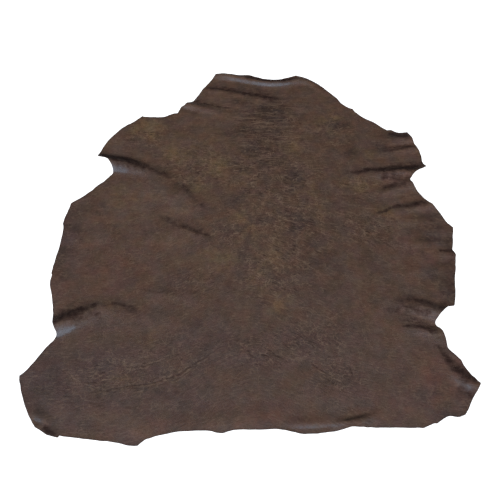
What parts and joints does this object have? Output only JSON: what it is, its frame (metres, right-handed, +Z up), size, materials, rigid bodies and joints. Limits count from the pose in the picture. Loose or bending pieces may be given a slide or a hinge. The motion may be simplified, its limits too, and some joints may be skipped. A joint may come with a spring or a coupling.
{
  "type": "leather hide",
  "caption": "Whole tanned cowhide: one thin sheet of dark brown leather with an irregular natural outline, lying flat, with loose folds at its edges.",
  "frame": {"origin": "middle of the sheet's box in plan, on the floor that its flat underside rests on", "axes": "+Z up out of the grain side, +Y from the tail edge to the neck, +X to the right of the backbone seen from above"},
  "size_m": [2.286, 2.5628, 0.0444],
  "materials": {
    "leather": "waxed aniline, crackled and mottled dark brown, low sheen on the folds"
  },
  "bodies": {
    "root": {"hide": "leather"}
  },
  "joints": []
}
